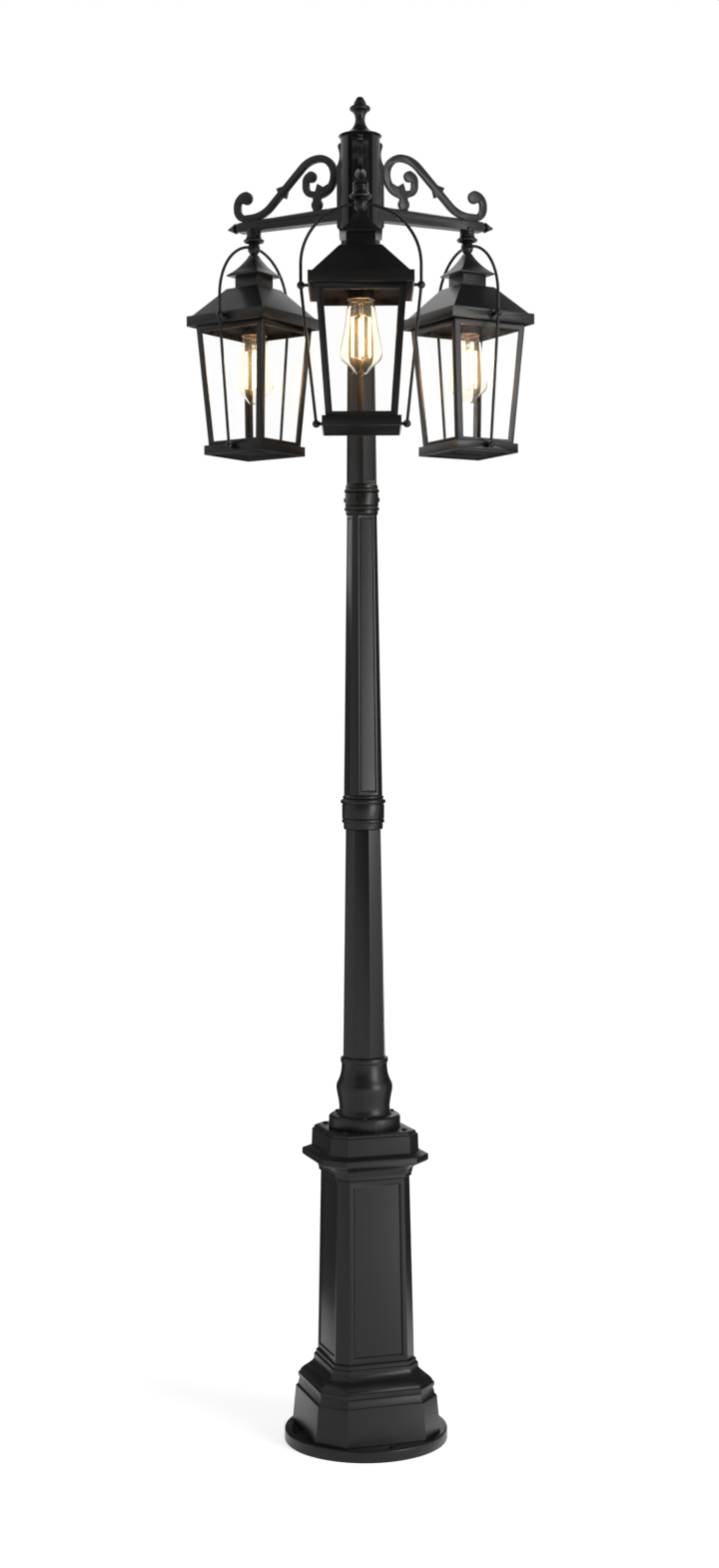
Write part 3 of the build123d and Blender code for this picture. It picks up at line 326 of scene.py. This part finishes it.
def grown(name, rule, sizes):
    """Plain mesh object that a node rule makes from its named sizes."""
    holder = bpy.data.objects.new(name, bpy.data.meshes.new(name))
    scene.collection.objects.link(holder)
    modifier = holder.modifiers.new(name, "NODES")
    modifier.node_group = rule
    for socket in rule.interface.items_tree:
        if socket.name in sizes:
            modifier[socket.identifier] = sizes[socket.name]
    mesh = finished_mesh(holder)
    mesh.polygons.foreach_set("use_smooth", [True] * len(mesh.polygons))
    crease = math.radians(35)
    mesh.set_sharp_from_angle(angle=crease)
    return holder


def joined(name, parts, finish):
    """One object from several plain ones, with one finish."""
    shape = bmesh.new()
    for part in parts:
        shape.from_mesh(part.data)
    mesh = bpy.data.meshes.new(name)
    shape.to_mesh(mesh)
    shape.free()
    mesh.materials.append(finish)
    mesh.polygons.foreach_set("material_index", [0] * len(mesh.polygons))
    for part in parts:
        bpy.data.objects.remove(part)
    whole = bpy.data.objects.new(name, mesh)
    scene.collection.objects.link(whole)
    return whole


screw_ring = bpy.data.node_groups.new("screw_ring", "GeometryNodeTree")
for socket_name, socket_kind in (("Count", "Int"), ("Ring Radius", "Float"), ("Height", "Float"),
                                 ("First Turn", "Float"), ("Upward", "Float"), ("Outward", "Float"),
                                 ("Head Radius", "Float"), ("Head Height", "Float"), ("Crown", "Float"),
                                 ("Recess Depth", "Float"), ("Shank Radius", "Float"),
                                 ("Shank Length", "Float"), ("Finish", "Material")):
    screw_ring.interface.new_socket(name=socket_name, in_out="INPUT", socket_type="NodeSocket" + socket_kind)
screw_ring.interface.new_socket(name="Screws", in_out="OUTPUT", socket_type="NodeSocketGeometry")
size = add(screw_ring, "NodeGroupInput").outputs
head_sides = 24
head_rings = 6
shank_sides = 16
blank = add(screw_ring, "GeometryNodeMeshCylinder",
            {"Vertices": head_sides, "Side Segments": 1, "Fill Segments": head_rings,
             "Radius": size["Head Radius"], "Depth": size["Head Height"]})
spot = add(screw_ring, "GeometryNodeInputPosition").outputs[0]
axes = add(screw_ring, "ShaderNodeSeparateXYZ", {0: spot}).outputs
flat_spot = add(screw_ring, "ShaderNodeCombineXYZ", {"X": axes["X"], "Y": axes["Y"]}).outputs[0]
reach = add(screw_ring, "ShaderNodeVectorMath", {0: flat_spot}, operation="LENGTH").outputs["Value"]
share = add(screw_ring, "ShaderNodeMath", {0: reach, 1: size["Head Radius"]}, operation="DIVIDE").outputs[0]
share_squared = add(screw_ring, "ShaderNodeMath", {0: share, 1: share}, operation="MULTIPLY").outputs[0]
fall = add(screw_ring, "ShaderNodeMath",
           {0: share_squared, 1: size["Crown"]}, operation="MULTIPLY").outputs[0]
recess_share = 0.42
in_recess = add(screw_ring, "ShaderNodeMath", {0: share, 1: recess_share}, operation="LESS_THAN").outputs[0]
sunk = add(screw_ring, "ShaderNodeMath",
           {0: in_recess, 1: size["Recess Depth"]}, operation="MULTIPLY").outputs[0]
lowered = add(screw_ring, "ShaderNodeMath", {0: fall, 1: sunk}, operation="ADD").outputs[0]
crowned = add(screw_ring, "ShaderNodeMath",
              {0: size["Head Height"], 1: lowered}, operation="SUBTRACT").outputs[0]
on_top = add(screw_ring, "ShaderNodeMath", {0: axes["Z"], 1: 0.0}, operation="GREATER_THAN").outputs[0]
level = add(screw_ring, "ShaderNodeMath", {0: on_top, 1: crowned}, operation="MULTIPLY").outputs[0]
seat = add(screw_ring, "ShaderNodeCombineXYZ", {"X": axes["X"], "Y": axes["Y"], "Z": level}).outputs[0]
head = add(screw_ring, "GeometryNodeSetPosition", {"Geometry": blank.outputs["Mesh"], "Position": seat})
shank_blank = add(screw_ring, "GeometryNodeMeshCylinder",
                  {"Vertices": shank_sides, "Radius": size["Shank Radius"], "Depth": size["Shank Length"]})
half_shank = add(screw_ring, "ShaderNodeMath",
                 {0: size["Shank Length"], 1: -0.5}, operation="MULTIPLY").outputs[0]
shank_drop = add(screw_ring, "ShaderNodeCombineXYZ", {"Z": half_shank}).outputs[0]
shank = add(screw_ring, "GeometryNodeTransform",
            {"Geometry": shank_blank.outputs["Mesh"], "Translation": shank_drop})
screw = add(screw_ring, "GeometryNodeJoinGeometry", {"Geometry": [head.outputs[0], shank.outputs[0]]})
circle = add(screw_ring, "GeometryNodeMeshCircle", {"Vertices": size["Count"], "Radius": size["Ring Radius"]})
radial = add(screw_ring, "ShaderNodeVectorMath", {0: spot}, operation="NORMALIZE").outputs[0]
sideways = add(screw_ring, "ShaderNodeVectorMath",
               {0: radial, "Scale": size["Outward"]}, operation="SCALE").outputs[0]
upwards = add(screw_ring, "ShaderNodeCombineXYZ", {"Z": size["Upward"]}).outputs[0]
facing = add(screw_ring, "ShaderNodeVectorMath", {0: sideways, 1: upwards}, operation="ADD").outputs[0]
lie = add(screw_ring, "FunctionNodeAlignRotationToVector", {"Vector": facing}, axis="Z").outputs[0]
ring = add(screw_ring, "GeometryNodeInstanceOnPoints",
           {"Points": circle.outputs[0], "Instance": screw.outputs[0], "Rotation": lie})
lift_up = add(screw_ring, "ShaderNodeCombineXYZ", {"Z": size["Height"]}).outputs[0]
turn_round = add(screw_ring, "ShaderNodeCombineXYZ", {"Z": size["First Turn"]}).outputs[0]
set_up = add(screw_ring, "GeometryNodeTransform",
             {"Geometry": ring.outputs[0], "Translation": lift_up, "Rotation": turn_round})
solid = add(screw_ring, "GeometryNodeRealizeInstances", {"Geometry": set_up.outputs[0]})
coated = add(screw_ring, "GeometryNodeSetMaterial",
             {"Geometry": solid.outputs[0], "Material": size["Finish"]})
add(screw_ring, "NodeGroupOutput", {"Screws": coated.outputs[0]})

cornice_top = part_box("pedestal_cornice")[1].z
flange_h = 0.021
flange_top = cornice_top + flange_h
collar_middle = (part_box("upper_collar")[0].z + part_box("upper_collar")[1].z) / 2
head_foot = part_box("head_column")[0].z
head_screw_rise = 0.025
arm_bolt_rises = (0.0475, 0.14425)
collar_turn = math.radians(-7)
corner_turn = math.radians(45)
facing_front = math.radians(-90)
post_turn = math.radians(18)
button = {"Upward": 1.0, "Outward": 0.0, "Head Height": 0.003, "Crown": 0.0019, "Recess Depth": 0.0012,
          "Shank Radius": 0.0024, "Finish": screw_steel}
set_screw = {"Upward": 0.0, "Outward": 1.0, "Head Radius": 0.0035, "Head Height": 0.002, "Crown": 0.0003,
             "Recess Depth": 0.0012, "Shank Radius": 0.0034, "Shank Length": 0.006, "Finish": screw_steel}
arm_bolt = {"Upward": 0.0, "Outward": -1.0, "Count": 3, "Ring Radius": 0.01885, "First Turn": facing_front,
            "Head Radius": 0.005, "Head Height": 0.004, "Crown": 0.0004, "Recess Depth": 0.0,
            "Shank Radius": 0.0029, "Shank Length": 0.0139, "Finish": screw_steel}
screw_sets = [
    grown("pedestal_screws", screw_ring,
          {**button, "Count": 4, "Ring Radius": 0.0707, "Height": cornice_top, "Head Radius": 0.0045,
           "First Turn": facing_front + post_turn + corner_turn, "Shank Length": 0.0115}),
    grown("flange_screws", screw_ring,
          {**button, "Count": 3, "Ring Radius": 0.0506, "Height": flange_top, "Head Radius": 0.004,
           "First Turn": facing_front, "Shank Length": 0.026}),
    grown("collar_screws", screw_ring,
          {**set_screw, "Count": 4, "Ring Radius": 0.0268, "Height": collar_middle,
           "First Turn": facing_front + collar_turn}),
    grown("head_screws", screw_ring,
          {**set_screw, "Count": 2, "Ring Radius": 0.0317, "Height": head_foot + head_screw_rise,
           "First Turn": 0.0}),
]
for rise in arm_bolt_rises:
    screw_sets.append(grown("arm_bolts", screw_ring, {**arm_bolt, "Height": head_foot + rise}))
stands_for(joined("post_screws_turned", screw_sets, screw_steel), "post_screws")

# Lantern stems, caps and roofs
# A turned steel stem with a ball carries each lantern. A pressed cap sits on the stem above a folded
# sheet roof, and the lid of the lamp chamber with its glass clips closes the roof from below.
sheet_coat = powder_coat("satin_black_sheet_coat", tone="#141414", worn_tone="#1a1a19", grain_mm=2.0,
                         grain_depth_mm=0.02, roughness=0.34)
# Inside, the powder lies thin and dry, so it is matt and rougher and mirrors next to nothing.
inner_coat = powder_coat("matt_black_inner_coat", tone="#151413", worn_tone="#1c1b19", grain_mm=2.0,
                         grain_depth_mm=0.04, roughness=0.7, sheen_level=0.03)
sides = ("front", "left", "right")
for side in sides:
    for piece, radius_mm in (("hanger", 0.3), ("chimney_cap", 0.5), ("roof", 0.5)):
        eased(side + "_" + piece, sheet_coat, radius_mm)
    eased(side + "_ceiling", inner_coat, 0.25)

# Lantern cages and trays
# Folded sheet welded at the corners: four posts that lean in towards the foot, a sill, and a tray
# below that takes the panes' weight. A pan with weep holes closes the tray.
for side in sides:
    for piece, radius_mm in (("cage", 0.4), ("tray", 0.4)):
        eased(side + "_" + piece, sheet_coat, radius_mm)
    eased(side + "_bottom_pan", inner_coat, 0.4)

# Bail rods and ball connectors
# A round steel rod bent over each lantern, held at the eaves and the tray by turned balls on short
# shanks. Rods and balls are dipped in a smoother, glossier black.
rod_enamel = powder_coat("dipped_black_enamel", tone="#121212", worn_tone="#181817", grain_mm=3.0,
                         grain_depth_mm=0.02, roughness=0.28)


def dressed(node, finish):
    """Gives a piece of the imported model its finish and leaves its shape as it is."""
    piece = frame["nodes"][node]
    piece.data.materials.clear()
    piece.data.materials.append(finish)
    return piece


for side in sides:
    for piece in ("bail_rod", "fixings"):
        dressed(side + "_" + piece, rod_enamel)

# Panes
# Four flat panes of clear float glass in each cage, held by the tray's stop and the lid's clips.
# They are clean, so only their edges and a few faint wipe marks show.


def unseen_by_coats(glass):
    """Lets light fall straight through thin clear glass onto painted pieces, with no caustic specks."""
    glass.visible_shadow = False
    glass.visible_diffuse = False
    glass.visible_glossy = False


window_glass = bpy.data.materials.new("clear_float_glass")
window_glass.use_nodes = True
pane_tree = window_glass.node_tree
pane = pane_tree.nodes["Principled BSDF"]
pane_place = add(pane_tree, "ShaderNodeTexCoord").outputs["Object"]
wipe_mm = 60.0
wipes = add(pane_tree, "ShaderNodeTexNoise", {"Vector": pane_place, "Scale": 1000 / wipe_mm, "Detail": 4.0,
                                              "Distortion": 1.5})
pane_tint = add(pane_tree, "ShaderNodeMixRGB",
                {0: wipes.outputs["Fac"], 1: linear("#ffffff"), 2: linear("#fdfefd")})
pane_tree.links.new(pane_tint.outputs[0], pane.inputs["Base Color"])
pane.inputs["Roughness"].default_value = 0.0
# Float glass has an IOR near 1.5; a lower one keeps the thin panes as clear as the real ones look.
pane.inputs["IOR"].default_value = 1.1
pane.inputs["Transmission Weight"].default_value = 1.0
for side in sides:
    unseen_by_coats(dressed(side + "_glass_panels", window_glass))

# Lamp holders
# A socket cup moulded in black phenolic under each lid, with the faint mottle and the soft shine
# that the hot mould leaves.
holder_phenolic = powder_coat("black_moulded_phenolic", tone="#141312", worn_tone="#1d1b19", grain_mm=1.4,
                              grain_depth_mm=0.01, roughness=0.36)
for side in sides:
    dressed(side + "_lamp_holder", holder_phenolic)

# Lips of the lamp holders
# The rolled end of the brass screw shell shows as a thin bright ring at each holder's mouth. It is
# pressed into the cup, so it stays in the lantern when the bulb comes out.


def turned(name, outline, place, finish):
    """Closed round piece from a half outline of radius and height points, about a vertical axis."""
    spin_steps = 40
    weld_m = 1e-6
    shape = bmesh.new()
    points = [shape.verts.new((radius, 0, height)) for radius, height in outline]
    runs = [shape.edges.new(pair) for pair in zip(points, points[1:])]
    bmesh.ops.spin(shape, geom=points + runs, cent=(0, 0, 0), axis=(0, 0, 1), angle=2 * math.pi,
                   steps=spin_steps)
    bmesh.ops.remove_doubles(shape, verts=shape.verts, dist=weld_m)
    bmesh.ops.recalc_face_normals(shape, faces=shape.faces)
    bmesh.ops.translate(shape, vec=place, verts=shape.verts)
    mesh = bpy.data.meshes.new(name)
    shape.to_mesh(mesh)
    shape.free()
    mesh.materials.append(finish)
    mesh.polygons.foreach_set("use_smooth", [True] * len(mesh.polygons))
    piece = bpy.data.objects.new(name, mesh)
    scene.collection.objects.link(piece)
    return piece


def spun_brass():
    """Bright brass with the fine rings that the spinning tool leaves round it.

    The real rings are finer; they are drawn as small as still shows, in streaks about 17 mm long.
    """
    finish = bpy.data.materials.new("spun_brass")
    finish.use_nodes = True
    tree = finish.node_tree
    shader = tree.nodes["Principled BSDF"]
    place = add(tree, "ShaderNodeTexCoord").outputs["Object"]
    ring_mm = 0.7
    rings_per_m = 1000 / ring_mm
    streaks_per_m = 60
    stretch = add(tree, "ShaderNodeMapping",
                  {"Vector": place, "Scale": (streaks_per_m, streaks_per_m, rings_per_m)})
    rings = add(tree, "ShaderNodeTexNoise", {"Vector": stretch.outputs[0], "Scale": 1.0, "Detail": 2.0})
    tone = add(tree, "ShaderNodeMixRGB",
               {0: rings.outputs["Fac"], 1: linear("#c7a765"), 2: linear("#a8874a")})
    gloss = add(tree, "ShaderNodeMapRange", {"Value": rings.outputs["Fac"], "To Min": 0.2, "To Max": 0.4})
    tree.links.new(tone.outputs[0], shader.inputs["Base Color"])
    tree.links.new(gloss.outputs[0], shader.inputs["Roughness"])
    shader.inputs["Metallic"].default_value = 1.0
    return finish


cap_brass = spun_brass()
lip_r = 0.0192
lip_wire_r = 0.0008
lip_sides = 10
lip_turns = [math.radians(360 / lip_sides * step) for step in range(lip_sides + 1)]
lip_round = [(lip_r + lip_wire_r * math.cos(turn), lip_wire_r * math.sin(turn)) for turn in lip_turns]
for side in sides:
    low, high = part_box(side + "_lamp_holder")
    mouth = ((low.x + high.x) / 2, (low.y + high.y) / 2, low.z)
    lip = turned(side + "_holder_lip", lip_round, mouth, cap_brass)
    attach(lip, body_of_node[side + "_lamp_holder"])

# Bulb envelopes
# Blown clear glass with a straight-sided teardrop shape and very shallow waves from the blowing. A faint warm
# painted glow lies on the glass as emission at the sticks' height, where the sticks' light would catch in its
# wall, and it fades towards the tip.
bulb_clear = bpy.data.materials.new("blown_clear_glass")
bulb_clear.use_nodes = True
bulb_tree = bulb_clear.node_tree
envelope = bulb_tree.nodes["Principled BSDF"]
bulb_place = add(bulb_tree, "ShaderNodeTexCoord").outputs["Object"]
wave_mm = 25.0
waves = add(bulb_tree, "ShaderNodeTexNoise", {"Vector": bulb_place, "Scale": 1000 / wave_mm, "Detail": 1.0})
bulb_tint = add(bulb_tree, "ShaderNodeMixRGB",
                {0: waves.outputs["Fac"], 1: linear("#fffdf8"), 2: linear("#fff9ee")})
wave_depth_mm = 0.2
shallow_waves = add(bulb_tree, "ShaderNodeBump",
                    {"Height": waves.outputs["Fac"], "Strength": 0.3, "Distance": wave_depth_mm / 1000})
bulb_tree.links.new(bulb_tint.outputs[0], envelope.inputs["Base Color"])
bulb_tree.links.new(shallow_waves.outputs[0], envelope.inputs["Normal"])
envelope.inputs["Roughness"].default_value = 0.0
# Lower than blown glass's 1.5, so that the thin wall bends the view no more than the real bulb does.
envelope.inputs["IOR"].default_value = 1.16
envelope.inputs["Transmission Weight"].default_value = 1.0
bulb_low, bulb_top = (corner.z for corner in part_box("front_bulb_glass"))
bulb_height = add(bulb_tree, "ShaderNodeSeparateXYZ", {0: bulb_place}).outputs["Z"]
up_the_bulb = add(bulb_tree, "ShaderNodeMapRange",
                  {"Value": bulb_height, "From Min": bulb_low, "From Max": bulb_top,
                   "To Min": 0.0, "To Max": 1.0})
# Painted glow: the glass itself emits a faint warm light, strongest at the sticks' height and dark at the
# tip.
painted_glow_ramp = add(bulb_tree, "ShaderNodeValToRGB", {0: up_the_bulb.outputs[0]})
painted_glow_ramp.color_ramp.elements[0].color = linear("#000000")
painted_glow_ramp.color_ramp.elements[1].color = linear("#70604a")
for share_up, painted_glow_tone in ((0.1, "#000000"), (0.32, "#ffd494"), (0.6, "#ffd494"), (0.78, "#70604a")):
    painted_glow_ramp.color_ramp.elements.new(share_up).color = linear(painted_glow_tone)
bulb_tree.links.new(painted_glow_ramp.outputs[0], envelope.inputs["Emission Color"])
envelope.inputs["Emission Strength"].default_value = 0.12
bulb_clear.cycles.emission_sampling = "NONE"
for side in sides:
    unseen_by_coats(dressed(side + "_bulb_glass", bulb_clear))

# Bulb caps
# A spun brass sleeve with a rolled thread and a contact on top, cemented to the neck of the bulb. Only
# its lowest turn shows until the bulb is unscrewed.
for side in sides:
    dressed(side + "_bulb_cap", cap_brass)

# Filaments
# Four glowing sticks in a ring hang from wires on a glass stem, and gather in thin wires below. Each
# stick is a sapphire strip with light chips along it, under a coat of warm phosphor.
glow = bpy.data.materials.new("glowing_phosphor_stick")
glow.use_nodes = True
glow_tree = glow.node_tree
stick = glow_tree.nodes["Principled BSDF"]
stick_place = add(glow_tree, "ShaderNodeTexCoord").outputs["Object"]
die_mm = 2.5
dies = add(glow_tree, "ShaderNodeTexNoise", {"Vector": stick_place, "Scale": 1000 / die_mm, "Detail": 0.0})
filament_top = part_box("front_filament")[1].z
foot_drop = 0.096
top_drop = 0.036
stick_low = filament_top - foot_drop
stick_top = filament_top - top_drop
stick_height = add(glow_tree, "ShaderNodeSeparateXYZ", {0: stick_place}).outputs["Z"]
ends = add(glow_tree, "ShaderNodeMapRange",
           {"Value": stick_height, "From Min": stick_low, "From Max": stick_top,
            "To Min": 0.0, "To Max": 1.0})
# The phosphor shines a hot warm white along the stick and falls to amber at the bare ends.
heat = add(glow_tree, "ShaderNodeValToRGB", {0: ends.outputs[0]})
heat.color_ramp.elements[0].color = linear("#6b3a10")
heat.color_ramp.elements[1].color = linear("#6b3a10")
for place_along in (0.16, 0.84):
    heat.color_ramp.elements.new(place_along).color = linear("#ffcf90")
stick_light = add(glow_tree, "ShaderNodeMixRGB",
                  {0: dies.outputs["Fac"], 1: heat.outputs[0], 2: linear("#ffb45c")})
glow_tree.links.new(stick_light.outputs[0], stick.inputs["Emission Color"])
stick.inputs["Base Color"].default_value = linear("#ffcf86")
stick.inputs["Emission Strength"].default_value = 85.0
# Drawn nickel is bright grey and picks up the sticks' light.
wire_nickel = bpy.data.materials.new("drawn_nickel_wire")
wire_nickel.use_nodes = True
wire_tree = wire_nickel.node_tree
wire = wire_tree.nodes["Principled BSDF"]
wire_place = add(wire_tree, "ShaderNodeTexCoord").outputs["Object"]
# Draw marks are far finer than this mottle, which is as small as still shows on the wires.
mottles_per_m = 900.0
wire_mottle = add(wire_tree, "ShaderNodeTexNoise",
                  {"Vector": wire_place, "Scale": mottles_per_m, "Detail": 2.0})
wire_tone = add(wire_tree, "ShaderNodeMixRGB",
                {0: wire_mottle.outputs["Fac"], 1: linear("#b9b2a4"), 2: linear("#8f887b")})
wire_tree.links.new(wire_tone.outputs[0], wire.inputs["Base Color"])
wire.inputs["Metallic"].default_value = 1.0
wire.inputs["Roughness"].default_value = 0.3

rod_ring = bpy.data.node_groups.new("rod_ring", "GeometryNodeTree")
for socket_name, socket_kind in (("Count", "Int"), ("Start Radius", "Float"), ("Start Height", "Float"),
                                 ("End Radius", "Float"), ("End Height", "Float"), ("Rod Radius", "Float"),
                                 ("First Turn", "Float"), ("Place", "Vector"), ("Finish", "Material")):
    rod_ring.interface.new_socket(name=socket_name, in_out="INPUT", socket_type="NodeSocket" + socket_kind)
rod_ring.interface.new_socket(name="Rods", in_out="OUTPUT", socket_type="NodeSocketGeometry")
size = add(rod_ring, "NodeGroupInput").outputs
rod_start = add(rod_ring, "ShaderNodeCombineXYZ",
                {"X": size["Start Radius"], "Z": size["Start Height"]}).outputs[0]
rod_end = add(rod_ring, "ShaderNodeCombineXYZ", {"X": size["End Radius"], "Z": size["End Height"]}).outputs[0]
rod_axis = add(rod_ring, "GeometryNodeCurvePrimitiveLine", {"Start": rod_start, "End": rod_end})
rod_sides = 12
rod_section = add(rod_ring, "GeometryNodeCurvePrimitiveCircle",
                  {"Resolution": rod_sides, "Radius": size["Rod Radius"]})
rod = add(rod_ring, "GeometryNodeCurveToMesh",
          {"Curve": rod_axis.outputs[0], "Profile Curve": rod_section.outputs[0], "Fill Caps": True})
centre_points = add(rod_ring, "GeometryNodeMeshLine", {"Count": size["Count"], "Offset": (0, 0, 0)})
index = add(rod_ring, "GeometryNodeInputIndex").outputs[0]
step = add(rod_ring, "ShaderNodeMath", {0: 2 * math.pi, 1: size["Count"]}, operation="DIVIDE").outputs[0]
angle = add(rod_ring, "ShaderNodeMath",
            {0: index, 1: step, 2: size["First Turn"]}, operation="MULTIPLY_ADD").outputs[0]
turn_rod = add(rod_ring, "ShaderNodeCombineXYZ", {"Z": angle}).outputs[0]
rods = add(rod_ring, "GeometryNodeInstanceOnPoints",
           {"Points": centre_points.outputs[0], "Instance": rod.outputs[0], "Rotation": turn_rod})
placed_rods = add(rod_ring, "GeometryNodeTransform",
                  {"Geometry": rods.outputs[0], "Translation": size["Place"]})
solid_rods = add(rod_ring, "GeometryNodeRealizeInstances", {"Geometry": placed_rods.outputs[0]})
finished_rods = add(rod_ring, "GeometryNodeSetMaterial",
                    {"Geometry": solid_rods.outputs[0], "Material": size["Finish"]})
add(rod_ring, "NodeGroupOutput", {"Rods": finished_rods.outputs[0]})

stem_inset = 0.0015
stem_top = bulb_top - stick_top - stem_inset
stem_outline = [(0.0, 0.003), (0.002, 0.0033), (0.0029, 0.0045), (0.0031, 0.01), (0.004, 0.0155),
                (0.0054, 0.0215), (0.0074, 0.027), (0.0098, 0.0315), (0.0114, stem_top), (0.0, stem_top)]
stick_count = 4
stick_turn = math.radians(9)
stick_ring_r = 0.013
stick_r = 0.0017
wire_r = 0.0004
wire_lap = 0.001
gather_r = 0.002
gather_rise = 0.006
gather_drop = 0.005
lead_count = 2
lead_r = 0.0005
lead_ring_r = 0.0016
lead_rise = 0.005
lead_foot = stick_top + lead_rise
for side in sides:
    low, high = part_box(side + "_filament")
    axis_place = ((low.x + high.x) / 2, (low.y + high.y) / 2, 0)
    ring_sizes = {"Count": stick_count, "First Turn": stick_turn, "Place": axis_place}
    sticks = grown(side + "_glowing_sticks", rod_ring,
                   {**ring_sizes, "Start Radius": stick_ring_r, "Start Height": stick_low,
                    "End Radius": stick_ring_r, "End Height": stick_top, "Rod Radius": stick_r,
                    "Finish": glow})
    wires = [
        grown(side + "_upper_wires", rod_ring,
              {**ring_sizes, "Start Radius": stick_ring_r, "Start Height": stick_top - wire_lap,
               "End Radius": gather_r, "End Height": stick_top + gather_rise, "Rod Radius": wire_r,
               "Finish": wire_nickel}),
        grown(side + "_lower_wires", rod_ring,
              {**ring_sizes, "Start Radius": stick_ring_r, "Start Height": stick_low + wire_lap,
               "End Radius": 0.0, "End Height": stick_low - gather_drop, "Rod Radius": wire_r,
               "Finish": wire_nickel}),
        grown(side + "_stem_wire", rod_ring,
              {**ring_sizes, "Count": lead_count, "Start Radius": lead_ring_r, "Start Height": lead_foot,
               "End Radius": lead_ring_r, "End Height": high.z, "Rod Radius": lead_r,
               "Finish": wire_nickel}),
    ]
    stem_foot = (axis_place[0], axis_place[1], stick_top)
    stem = turned(side + "_glass_stem", stem_outline, stem_foot, bulb_clear)
    unseen_by_coats(stem)
    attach(stem, body_of_node[side + "_filament"])
    stands_for(sticks, side + "_filament")
    supports = joined(side + "_filament_wires", wires, wire_nickel)
    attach(supports, body_of_node[side + "_filament"])
